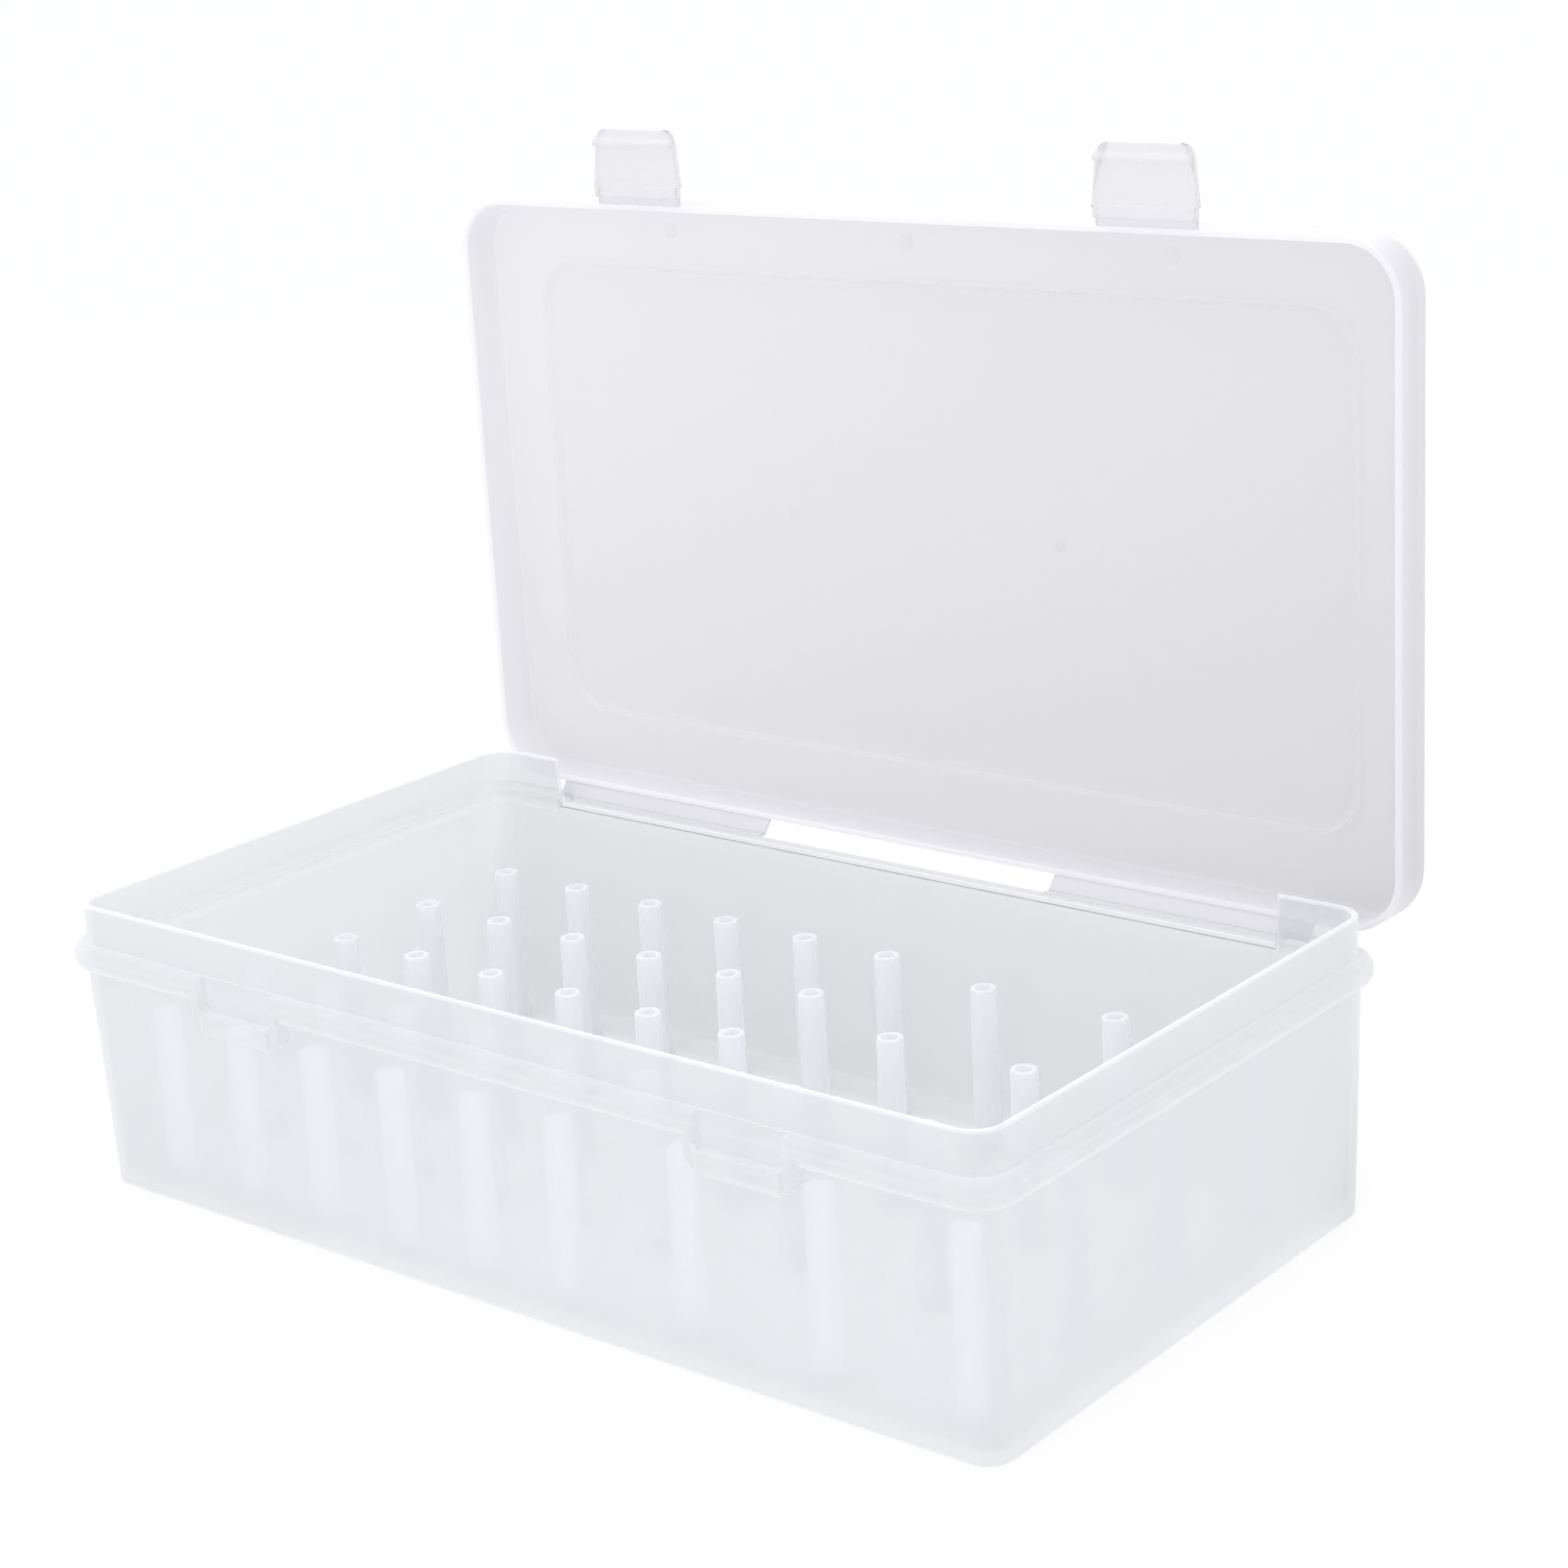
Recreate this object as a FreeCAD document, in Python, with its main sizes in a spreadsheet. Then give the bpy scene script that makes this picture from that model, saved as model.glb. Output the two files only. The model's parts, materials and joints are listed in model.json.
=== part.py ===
"""Bobbin box: a tray of hollow spool posts with a film-hinged lid and two flip latches.

Frame: millimetres, +Z up, origin at the middle of the tub's underside. The long side lies along X,
the latches close on the front (-Y) and the lid is hinged at the rear (+Y). The lid stands open.
"""
import FreeCAD, Part
import math
import os
import Sketcher

FLOOR_PLANE = "XY_Plane"   # sketch x is X, sketch y is Y, the normal is +Z
FRONT_PLANE = "XZ_Plane"   # sketch x is X, sketch y is Z, the normal is -Y
SIDE_PLANE = "YZ_Plane"    # sketch x is Y, sketch y is Z, the normal is +X

DRIVING = {
    # tub: lip, wall, floor
    "lip_length": 240.0, "lip_width": 132.0, "lip_corner": 6.5, "lip_wall": 1.1, "lip_top": 64.5,
    "wall": 1.5, "wall_top": 52.0, "wall_flare": 0.6, "wall_corner": 7.0, "floor_thick": 1.7,
    "base_inset": 0.8, "base_corner": 6.0, "base_round": 0.7, "floor_round": 1.2,
    # tub: bead outside, groove behind it, gap in the rear lip
    "bead_low": 49.8, "bead_high": 56.0, "bead_proud": 3.1, "bead_round_low": 3.2, "bead_round_high": 2.2,
    "groove_low": 50.9, "groove_mid": 52.9, "groove_high": 54.8, "groove_deep": 1.6,
    "rear_gap": 197.6, "rear_slope": 0.8, "rail_round": 0.7,
    # catches that interrupt the front bead
    "catch_x": 67.0, "catch_width": 26.4, "catch_low": 44.0, "catch_high": 54.2, "catch_corner": 4.5,
    "catch_proud": 3.0, "recess_width": 21.0, "recess_low": 48.8, "recess_corner": 2.0, "recess_proud": 1.2,
    "bar_width": 20.0, "bar_high": 48.6, "bar_proud": 3.6, "bar_bevel": 0.8,
    "hook_slope": 30.0, "undercut_width": 18.6,
    # film hinges
    "film": 0.5, "film_gap": 0.05, "web_inner": 39.7, "web_outer": 103.5, "web_span": 3.6,
    "hinge_y": 70.2, "hinge_z": 53.6, "web_lean": 5.0, "lid_open": 90.0,
    # lid
    "lid_length": 247.0, "lid_width": 140.0, "lid_corner": 12.5, "lid_deep": 11.35, "lid_wall": 1.3,
    "lid_round": 2.0, "lid_round_inside": 0.9, "skirt_drop": 0.5,
    "panel_length": 216.5, "panel_width": 109.0, "panel_corner": 10.5, "panel_rise": 1.5, "panel_draft": 0.8,
    "pin_mark_x": 66.8, "pin_mark_inset": 6.9, "pin_mark_size": 3.6, "pin_mark_deep": 0.25,
    "gate_x": 36.3, "gate_size": 2.6, "gate_rise": 0.4,
    # latches
    "latch_root": 25.0, "latch_tip": 22.4, "latch_long": 16.4, "latch_corner": 2.5, "latch_outside": 0.5,
    "latch_inside": 0.7, "knuckle_start": 1.3, "knuckle_end": 3.9, "knuckle_inside": 1.3, "knuckle_round": 0.5,
    "hook_start": 12.75, "hook_flat": 0.8, "hook_inside": 1.7, "hook_width": 17.4,
    # spool posts
    "post_top": 39.1, "post_head": 2.8, "post_foot": 3.05, "post_bore": 1.75, "post_round": 0.35,
    "small_x": -105.7, "small_y": -55.2, "small_pitch_x": 22.94, "small_pitch_y": 26.65,
    "large_x": 38.8, "large_y": -52.7, "large_pitch_x": 33.3, "large_pitch_y": 32.9,
}
SMALL_COLUMNS, SMALL_ROWS = 6, 5
LARGE_COLUMNS, LARGE_ROWS = 3, 4

LID_MIDDLE = "-(sheet.film / 2 + sheet.film_gap) - sheet.lid_width / 2"
LID_CROWN = "sheet.lid_deep - sheet.skirt_drop"
LID_CEILING = "sheet.lid_deep - sheet.skirt_drop - sheet.lid_wall"
TOLERANCE = 0.01

doc = FreeCAD.newDocument("bobbin_box")
sheet = doc.addObject("Spreadsheet::Sheet", "sheet")
for row_number, (alias, value) in enumerate(DRIVING.items(), start=1):
    sheet.set("A%d" % row_number, alias)
    sheet.set("B%d" % row_number, str(value))
    sheet.setAlias("B%d" % row_number, alias)
doc.recompute()


def value_of(expression):
    """The plain number that an expression of sheet cells comes to."""
    result = sheet.evalExpression(expression)
    return float(getattr(result, "Value", result))


def new_body(label):
    body = doc.addObject("PartDesign::Body", label)
    body.Label = label
    return body


def origin_plane(body, role):
    return [item for item in body.Origin.OriginFeatures if item.Role == role][0]


def new_sketch(body, name, plane, offset):
    """An empty sketch on one of the body's own origin planes, moved along the plane's normal."""
    sketch = body.newObject("Sketcher::SketchObject", name)
    sketch.AttachmentSupport = [(origin_plane(body, plane), "")]
    sketch.MapMode = "FlatFace"
    sketch.setExpression("AttachmentOffset.Base.z", offset)
    return sketch


def bind(sketch, kind, *references, to):
    """Add a dimension to the sketch and tie it to the sheet."""
    index = sketch.addConstraint(Sketcher.Constraint(kind, *references, value_of(to)))
    sketch.setExpression("Constraints[%d]" % index, to)


def add_arc(sketch, centre_x, centre_y, radius, first_degrees, sweep_degrees):
    circle = Part.Circle(FreeCAD.Vector(centre_x, centre_y, 0), FreeCAD.Vector(0, 0, 1), radius)
    first = math.radians(first_degrees)
    sketch.addGeometry(Part.ArcOfCircle(circle, first, first + math.radians(sweep_degrees)))


def add_line(sketch, start_x, start_y, end_x, end_y):
    sketch.addGeometry(Part.LineSegment(FreeCAD.Vector(start_x, start_y, 0), FreeCAD.Vector(end_x, end_y, 0)))


def join_tangent(sketch, count):
    """Join each curve's end to the next one's start without a corner."""
    for index in range(count):
        sketch.addConstraint(Sketcher.Constraint("Tangent", index, 2, (index + 1) % count, 1))


def rounded_rectangle(body, name, plane, offset, length, width, corner, middle_x="0", middle_y="0"):
    """A rounded rectangle about a middle point; every size is an expression of the sheet."""
    sketch = new_sketch(body, name, plane, offset)
    half_x, half_y, radius = value_of(length) / 2, value_of(width) / 2, value_of(corner)
    mid_x, mid_y = value_of(middle_x), value_of(middle_y)
    flat_x, flat_y = half_x - radius, half_y - radius
    add_line(sketch, mid_x - flat_x, mid_y - half_y, mid_x + flat_x, mid_y - half_y)
    add_arc(sketch, mid_x + flat_x, mid_y - flat_y, radius, -90, 90)
    add_line(sketch, mid_x + half_x, mid_y - flat_y, mid_x + half_x, mid_y + flat_y)
    add_arc(sketch, mid_x + flat_x, mid_y + flat_y, radius, 0, 90)
    add_line(sketch, mid_x + flat_x, mid_y + half_y, mid_x - flat_x, mid_y + half_y)
    add_arc(sketch, mid_x - flat_x, mid_y + flat_y, radius, 90, 90)
    add_line(sketch, mid_x - half_x, mid_y + flat_y, mid_x - half_x, mid_y - flat_y)
    add_arc(sketch, mid_x - flat_x, mid_y - flat_y, radius, 180, 90)
    join_tangent(sketch, 8)
    bottom, right, top, left = 0, 2, 4, 6
    for line, direction in ((bottom, "Horizontal"), (right, "Vertical"), (top, "Horizontal"), (left, "Vertical")):
        sketch.addConstraint(Sketcher.Constraint(direction, line))
    for arc in (3, 5, 7):
        sketch.addConstraint(Sketcher.Constraint("Equal", 1, arc))
    bind(sketch, "Radius", 1, to=corner)
    bind(sketch, "DistanceX", -1, 1, right, 1, to="(%s) / 2 + (%s)" % (length, middle_x))
    bind(sketch, "DistanceX", left, 1, right, 1, to=length)
    bind(sketch, "DistanceY", -1, 1, top, 1, to="(%s) / 2 + (%s)" % (width, middle_y))
    bind(sketch, "DistanceY", bottom, 1, top, 1, to=width)
    return sketch


def slot(body, name, plane, offset, span, thickness):
    """A round-ended strip that starts at the origin and runs along the sketch's x."""
    sketch = new_sketch(body, name, plane, offset)
    length, radius = value_of(span), value_of(thickness) / 2
    add_line(sketch, 0, -radius, length, -radius)
    add_arc(sketch, length, 0, radius, -90, 180)
    add_line(sketch, length, radius, 0, radius)
    add_arc(sketch, 0, 0, radius, 90, 180)
    join_tangent(sketch, 4)
    sketch.addConstraint(Sketcher.Constraint("Horizontal", 0))
    sketch.addConstraint(Sketcher.Constraint("Equal", 1, 3))
    sketch.addConstraint(Sketcher.Constraint("Coincident", 3, 3, -1, 1))
    bind(sketch, "Radius", 1, to="%s / 2" % thickness)
    bind(sketch, "DistanceX", 3, 3, 1, 3, to=span)
    return sketch


def polygon(body, name, plane, offset, points):
    """A closed outline of straight lines; each point is a pair of sheet expressions."""
    sketch = new_sketch(body, name, plane, offset)
    places = [(value_of(x), value_of(y)) for x, y in points]
    count = len(places)
    for index in range(count):
        add_line(sketch, *places[index], *places[(index + 1) % count])
    for index in range(count):
        sketch.addConstraint(Sketcher.Constraint("Coincident", index, 2, (index + 1) % count, 1))
    for index, (x, y) in enumerate(points):
        bind(sketch, "DistanceX", -1, 1, index, 1, to=x)
        bind(sketch, "DistanceY", -1, 1, index, 1, to=y)
    return sketch


def circles(body, name, plane, offset, places, radius):
    """Equal circles; each place is a pair of sheet expressions."""
    sketch = new_sketch(body, name, plane, offset)
    for index, (x, y) in enumerate(places):
        centre = FreeCAD.Vector(value_of(x), value_of(y), 0)
        sketch.addGeometry(Part.Circle(centre, FreeCAD.Vector(0, 0, 1), value_of(radius)))
        bind(sketch, "Radius", index, to=radius)
        bind(sketch, "DistanceX", -1, 1, index, 3, to=x)
        bind(sketch, "DistanceY", -1, 1, index, 3, to=y)
    return sketch


def loft(body, kind, name, sections):
    """Straight faces between sections: kind is Additive or Subtractive."""
    feature = body.newObject("PartDesign::%sLoft" % kind, name)
    feature.Profile = sections[0]
    feature.Sections = sections[1:]
    feature.Ruled = True
    return feature


def extrude(body, kind, name, sketch, length, reverse=False, taper="0"):
    """A Pad grows along the sketch's normal and a Pocket cuts against it, unless reversed."""
    feature = body.newObject("PartDesign::%s" % kind, name)
    feature.Profile = sketch
    feature.setExpression("Length", length)
    feature.setExpression("TaperAngle", taper)
    feature.Reversed = reverse
    return feature


def mirror_across_x(body, name, features):
    """Repeat features at the other end of the long side."""
    mirror = body.newObject("PartDesign::Mirrored", name)
    mirror.Originals = features
    mirror.MirrorPlane = (origin_plane(body, SIDE_PLANE), [""])
    body.Tip = mirror


def round_edges(body, name, radius, is_wanted):
    """Fillet the edges of the body so far that the test picks out by their bounding boxes."""
    doc.recompute()
    base = body.Tip
    names = ["Edge%d" % (index + 1) for index, edge in enumerate(base.Shape.Edges) if is_wanted(edge.BoundBox)]
    fillet = body.newObject("PartDesign::Fillet", name)
    fillet.Base = (base, names)
    fillet.setExpression("Radius", radius)
    doc.recompute()


def level_at(height):
    """A test for edges that lie wholly at one height; the height is an expression."""
    level = value_of(height)
    return lambda box: abs(box.ZMin - level) < TOLERANCE and abs(box.ZMax - level) < TOLERANCE


def tub_outline(body, name, height, grow, corner):
    """The tub's plan at some height, grown from the lip's outer face."""
    return rounded_rectangle(body, name, FLOOR_PLANE, height, "sheet.lip_length + 2 * (%s)" % grow,
                             "sheet.lip_width + 2 * (%s)" % grow, corner)


def add_bead(body):
    """The rounded rib round the tub that the lid's skirt closes down to."""
    plan = tub_outline(body, "bead_plan", "sheet.bead_low", "sheet.bead_proud", "sheet.lip_corner + sheet.bead_proud")
    extrude(body, "Pad", "bead", plan, "sheet.bead_high - sheet.bead_low")
    round_edges(body, "bead_top_round", "sheet.bead_round_high", level_at("sheet.bead_high"))
    round_edges(body, "bead_bottom_round", "sheet.bead_round_low", level_at("sheet.bead_low"))


def add_walls(body):
    base = tub_outline(body, "base_plan", "0", "-sheet.base_inset", "sheet.base_corner")
    top = tub_outline(body, "wall_plan", "sheet.wall_top", "sheet.wall_flare", "sheet.wall_corner")
    loft(body, "Additive", "wall_block", [base, top])
    round_edges(body, "base_edge", "sheet.base_round", level_at("0"))
    lip = tub_outline(body, "lip_plan", "sheet.wall_top", "0", "sheet.lip_corner")
    extrude(body, "Pad", "lip", lip, "sheet.lip_top - sheet.wall_top")


def hollow_tub(body):
    low = tub_outline(body, "cavity_floor", "sheet.floor_thick", "-sheet.base_inset - sheet.wall",
                      "sheet.base_corner - sheet.wall")
    high = tub_outline(body, "cavity_top", "sheet.wall_top", "sheet.wall_flare - sheet.wall",
                       "sheet.wall_corner - sheet.wall")
    loft(body, "Subtractive", "cavity", [low, high])
    mouth = tub_outline(body, "mouth_plan", "sheet.lip_top", "-sheet.lip_wall", "sheet.lip_corner - sheet.lip_wall")
    extrude(body, "Pocket", "mouth", mouth, "sheet.lip_top - sheet.wall_top")
    round_edges(body, "floor_edge", "sheet.floor_round", level_at("sheet.floor_thick"))


def cut_groove(body):
    """The hollow behind the bead, which keeps the wall thin there."""
    corner = "sheet.lip_corner - sheet.lip_wall"
    foot = tub_outline(body, "groove_foot", "sheet.groove_low", "-sheet.lip_wall", corner)
    belly = tub_outline(body, "groove_belly", "sheet.groove_mid", "sheet.groove_deep - sheet.lip_wall",
                        corner + " + sheet.groove_deep")
    head = tub_outline(body, "groove_head", "sheet.groove_high", "-sheet.lip_wall", corner)
    loft(body, "Subtractive", "groove", [foot, belly, head])


def add_catches(body):
    """Frames where the bead is interrupted, each with a bar that its latch hooks under."""
    wall_middle = "sheet.lip_width / 2 - sheet.lip_wall / 2"
    plan = rounded_rectangle(body, "catch_plan", FRONT_PLANE, wall_middle, "sheet.catch_width",
                             "sheet.catch_high - sheet.catch_low", "sheet.catch_corner", "sheet.catch_x",
                             "(sheet.catch_high + sheet.catch_low) / 2")
    frame = extrude(body, "Pad", "catch_frame", plan, "sheet.catch_proud + sheet.lip_wall / 2")
    plan = rounded_rectangle(body, "recess_plan", FRONT_PLANE, "sheet.lip_width / 2 + sheet.recess_proud",
                             "sheet.recess_width", "sheet.lip_top - sheet.recess_low", "sheet.recess_corner",
                             "sheet.catch_x", "(sheet.lip_top + sheet.recess_low) / 2")
    recess = extrude(body, "Pocket", "catch_recess", plan, "2 * sheet.bead_proud", reverse=True)
    face = "-sheet.lip_width / 2 - sheet.bar_proud"
    inner = "-sheet.lip_width / 2"
    profile = polygon(body, "bar_profile", SIDE_PLANE, "sheet.catch_x - sheet.bar_width / 2",
                      [(inner, "sheet.catch_low"), (face, "sheet.catch_low"),
                       (face, "sheet.bar_high - sheet.bar_bevel"), (face + " + sheet.bar_bevel", "sheet.bar_high"),
                       (inner, "sheet.bar_high")])
    bar = extrude(body, "Pad", "catch_bar", profile, "sheet.bar_width")
    reach = "(sheet.bar_proud - sheet.wall_flare)"
    profile = polygon(body, "undercut_profile", SIDE_PLANE, "sheet.catch_x - sheet.undercut_width / 2",
                      [(face, "sheet.catch_low - 1"), (face, "sheet.catch_low"),
                       (face + " + " + reach, "sheet.catch_low + tan(sheet.hook_slope * 1 deg) * " + reach),
                       (face + " + " + reach, "sheet.catch_low - 1")])
    undercut = extrude(body, "Pocket", "catch_undercut", profile, "sheet.undercut_width", reverse=True)
    mirror_across_x(body, "other_catch", [frame, recess, bar, undercut])


def cut_rear_gap(body):
    """Between the rear corners the wall is solid and ends level with the hinge roots, with steep shoulders."""
    half, floor, top = "sheet.rear_gap / 2", "sheet.hinge_z - sheet.film / 2", "sheet.lip_top"
    inner = "sheet.lip_width / 2 - sheet.lip_wall"
    groove_back = "sheet.lip_width / 2 + sheet.groove_deep"
    profile = polygon(body, "rail_profile", SIDE_PLANE, "-" + half,
                      [(inner, "sheet.groove_low"), (groove_back, "sheet.groove_low"), (groove_back, floor),
                       (inner, floor)])
    extrude(body, "Pad", "rear_rail", profile, "sheet.rear_gap")
    shoulder = "(%s + sheet.rear_slope)" % half
    plan = polygon(body, "rear_gap_plan", FRONT_PLANE, "1 - (%s)" % inner,
                   [("-" + half, floor), (half, floor), (shoulder, top), (shoulder, top + " + 1"),
                    ("-" + shoulder, top + " + 1"), ("-" + shoulder, top)])
    extrude(body, "Pocket", "rear_gap", plan, "sheet.lip_wall + sheet.bead_proud + 2")
    is_level, brink = level_at(floor), value_of(inner)
    round_edges(body, "rail_edge", "sheet.rail_round", lambda box: is_level(box)
                and abs(box.YMin - brink) < TOLERANCE and abs(box.YMax - brink) < TOLERANCE)


def add_hinge_roots(body):
    """Thin ledges on top of the rear bead, in line with the two strips of the film hinge."""
    inner = "sheet.lip_width / 2 + sheet.bead_proud - 1"
    outer = "sheet.hinge_y - sheet.film / 2 - sheet.film_gap"
    low, high = "sheet.hinge_z - sheet.film / 2", "sheet.hinge_z + sheet.film / 2"
    profile = polygon(body, "root_profile", SIDE_PLANE, "sheet.web_inner",
                      [(inner, low), (outer, low), (outer, high), (inner, high)])
    root = extrude(body, "Pad", "hinge_root", profile, "sheet.web_outer - sheet.web_inner")
    mirror_across_x(body, "other_hinge_root", [root])


def make_tub():
    body = new_body("tub")
    add_bead(body)
    add_walls(body)
    hollow_tub(body)
    cut_groove(body)
    add_catches(body)
    cut_rear_gap(body)
    add_hinge_roots(body)
    return body


def lid_outline(body, name, height, length, width, corner):
    return rounded_rectangle(body, name, FLOOR_PLANE, height, length, width, corner, "0", LID_MIDDLE)


def add_lid_crown(body):
    """The skirted plate and its raised panel, as solid blocks."""
    plan = lid_outline(body, "skirt_plan", "-sheet.skirt_drop", "sheet.lid_length", "sheet.lid_width",
                       "sheet.lid_corner")
    extrude(body, "Pad", "skirt_block", plan, "sheet.lid_deep")
    round_edges(body, "crown_edge", "sheet.lid_round", level_at(LID_CROWN))
    foot = lid_outline(body, "panel_foot", LID_CROWN, "sheet.panel_length + 2 * sheet.panel_draft",
                       "sheet.panel_width + 2 * sheet.panel_draft", "sheet.panel_corner + sheet.panel_draft")
    top = lid_outline(body, "panel_top", LID_CROWN + " + sheet.panel_rise", "sheet.panel_length",
                      "sheet.panel_width", "sheet.panel_corner")
    loft(body, "Additive", "panel_block", [foot, top])


def hollow_lid(body):
    plan = lid_outline(body, "hollow_plan", "-sheet.skirt_drop", "sheet.lid_length - 2 * sheet.lid_wall",
                       "sheet.lid_width - 2 * sheet.lid_wall", "sheet.lid_corner - sheet.lid_wall")
    extrude(body, "Pocket", "hollow", plan, "sheet.lid_deep - sheet.lid_wall", reverse=True)
    round_edges(body, "ceiling_edge", "sheet.lid_round_inside", level_at(LID_CEILING))
    mouth = lid_outline(body, "tray_mouth", LID_CEILING, "sheet.panel_length", "sheet.panel_width",
                        "sheet.panel_corner")
    tray = lid_outline(body, "tray_floor", LID_CEILING + " + sheet.panel_rise",
                       "sheet.panel_length - 2 * sheet.panel_draft", "sheet.panel_width - 2 * sheet.panel_draft",
                       "sheet.panel_corner - sheet.panel_draft")
    loft(body, "Subtractive", "panel_tray", [mouth, tray])


def add_moulding_marks(body):
    """Three ejector marks sunk in the front border and two gate nubs on the panel."""
    front_row = "2 * (%s) + sheet.film / 2 + sheet.film_gap + sheet.pin_mark_inset" % LID_MIDDLE
    marks = circles(body, "pin_mark_plan", FLOOR_PLANE, LID_CEILING,
                    [("-sheet.pin_mark_x", front_row), ("0", front_row), ("sheet.pin_mark_x", front_row)],
                    "sheet.pin_mark_size / 2")
    extrude(body, "Pocket", "pin_marks", marks, "sheet.pin_mark_deep", reverse=True)
    nubs = circles(body, "gate_plan", FLOOR_PLANE, LID_CEILING + " + sheet.panel_rise - sheet.gate_rise",
                   [("-sheet.gate_x", LID_MIDDLE), ("sheet.gate_x", LID_MIDDLE)], "sheet.gate_size / 2")
    extrude(body, "Pad", "gate_nubs", nubs, "2 * sheet.gate_rise")


def make_lid():
    """The lid in its closed attitude, with its origin on the hinge line that it shares with the webs."""
    body = new_body("lid")
    add_lid_crown(body)
    hollow_lid(body)
    add_moulding_marks(body)
    return body


def make_web(label, inner_end):
    """One strip of the film hinge, lying along local +Y from the tub's hinge line to the lid's."""
    body = new_body(label)
    profile = slot(body, label + "_profile", SIDE_PLANE, inner_end, "sheet.web_span", "sheet.film")
    extrude(body, "Pad", label + "_strip", profile, "sheet.web_outer - sheet.web_inner")
    return body


def latch_blank(body, label, middle):
    """Film, knuckle and plate as one profile, with a round edge on the hinge line, run across the latch."""
    inside, outside = "-sheet.latch_inside", "sheet.latch_outside"
    profile = polygon(body, label + "_profile", SIDE_PLANE, "%s - sheet.latch_root / 2" % middle,
                      [("0", "-sheet.film / 2"), ("-sheet.knuckle_start", "-sheet.film / 2"),
                       ("-sheet.knuckle_start", "-sheet.knuckle_inside"),
                       ("-sheet.knuckle_end", "-sheet.knuckle_inside"), ("-sheet.knuckle_end", inside),
                       ("-sheet.latch_long", inside), ("-sheet.latch_long", outside),
                       ("-sheet.knuckle_start - sheet.film", outside), ("-sheet.knuckle_start", "sheet.film / 2"),
                       ("0", "sheet.film / 2")])
    extrude(body, "Pad", label + "_blank", profile, "sheet.latch_root")
    film_end = circles(body, label + "_film_end", SIDE_PLANE, "%s - sheet.latch_root / 2" % middle,
                       [("0", "0")], "sheet.film / 2")
    extrude(body, "Pad", label + "_film_bead", film_end, "sheet.latch_root")


def latch_hook(body, label, middle):
    """The ridge that snaps under the catch bar; its upper face slopes to match the bar's undercut."""
    slope = "tan(sheet.hook_slope * 1 deg) * (sheet.hook_inside - sheet.latch_inside)"
    profile = polygon(body, label + "_hook_profile", SIDE_PLANE, "%s - sheet.hook_width / 2" % middle,
                      [("-sheet.hook_start - " + slope, "-sheet.latch_inside"),
                       ("-sheet.hook_start", "-sheet.hook_inside"),
                       ("-sheet.hook_start - sheet.hook_flat", "-sheet.hook_inside"),
                       ("-sheet.hook_start - sheet.hook_flat - 1", "-sheet.latch_inside"),
                       ("-sheet.hook_start - sheet.hook_flat - 1", "0"),
                       ("-sheet.hook_start - " + slope, "0")])
    extrude(body, "Pad", label + "_hook", profile, "sheet.hook_width")


def taper_latch(body, label, middle):
    """Narrow the plate towards its tip on both sides."""
    end = "-sheet.latch_long - 1"
    for sign, side in (("-", "left"), ("+", "right")):
        root = "%s %s sheet.latch_root / 2" % (middle, sign)
        tip = "%s %s sheet.latch_tip / 2" % (middle, sign)
        outside = "%s %s (sheet.latch_root / 2 + 1)" % (middle, sign)
        plan = polygon(body, "%s_%s_plan" % (label, side), FLOOR_PLANE, "sheet.latch_outside",
                       [(root, "-sheet.knuckle_end"), (tip, end), (outside, end), (outside, "-sheet.knuckle_end")])
        extrude(body, "Pocket", "%s_%s_side" % (label, side), plan, "sheet.latch_outside + sheet.latch_inside")


def make_latch(label, middle):
    """A flip latch in line with the closed lid, with its origin on its own hinge line."""
    body = new_body(label)
    latch_blank(body, label, middle)
    latch_hook(body, label, middle)
    taper_latch(body, label, middle)
    tip = -value_of("sheet.latch_long")
    knuckle = -value_of("sheet.knuckle_inside")
    round_edges(body, label + "_tip_corners", "sheet.latch_corner",
                lambda box: box.ZLength > TOLERANCE and box.YMax - tip < TOLERANCE)
    round_edges(body, label + "_knuckle_round", "sheet.knuckle_round",
                lambda box: box.YLength < TOLERANCE and abs(box.ZMax - knuckle) < TOLERANCE)
    return body


def make_post_row(label, columns, first_x, pitch_x, row_y):
    """One row of hollow spool posts: tapered tubes on the floor, open at the top."""
    body = new_body(label)
    body.AllowCompound = True
    places = [("%s + %d * %s" % (first_x, column, pitch_x), row_y) for column in range(columns)]
    feet = circles(body, label + "_feet", FLOOR_PLANE, "sheet.floor_thick", places, "sheet.post_foot")
    draft = "-atan((sheet.post_foot - sheet.post_head) / (sheet.post_top - sheet.floor_thick))"
    extrude(body, "Pad", label + "_shafts", feet, "sheet.post_top - sheet.floor_thick", taper=draft)
    bores = circles(body, label + "_bores", FLOOR_PLANE, "sheet.post_top", places, "sheet.post_bore")
    extrude(body, "Pocket", label + "_bore", bores, "sheet.post_top - 2 * sheet.floor_thick")
    round_edges(body, label + "_rims", "sheet.post_round", level_at("sheet.post_top"))
    return body


def make_posts():
    rows = []
    for row in range(SMALL_ROWS):
        place = "sheet.small_y + %d * sheet.small_pitch_y" % row
        rows.append(make_post_row("small_posts_row_%d" % (row + 1), SMALL_COLUMNS,
                                  "sheet.small_x", "sheet.small_pitch_x", place))
    for row in range(LARGE_ROWS):
        place = "sheet.large_y + %d * sheet.large_pitch_y" % row
        rows.append(make_post_row("large_posts_row_%d" % (row + 1), LARGE_COLUMNS,
                                  "sheet.large_x", "sheet.large_pitch_x", place))
    return rows


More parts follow.
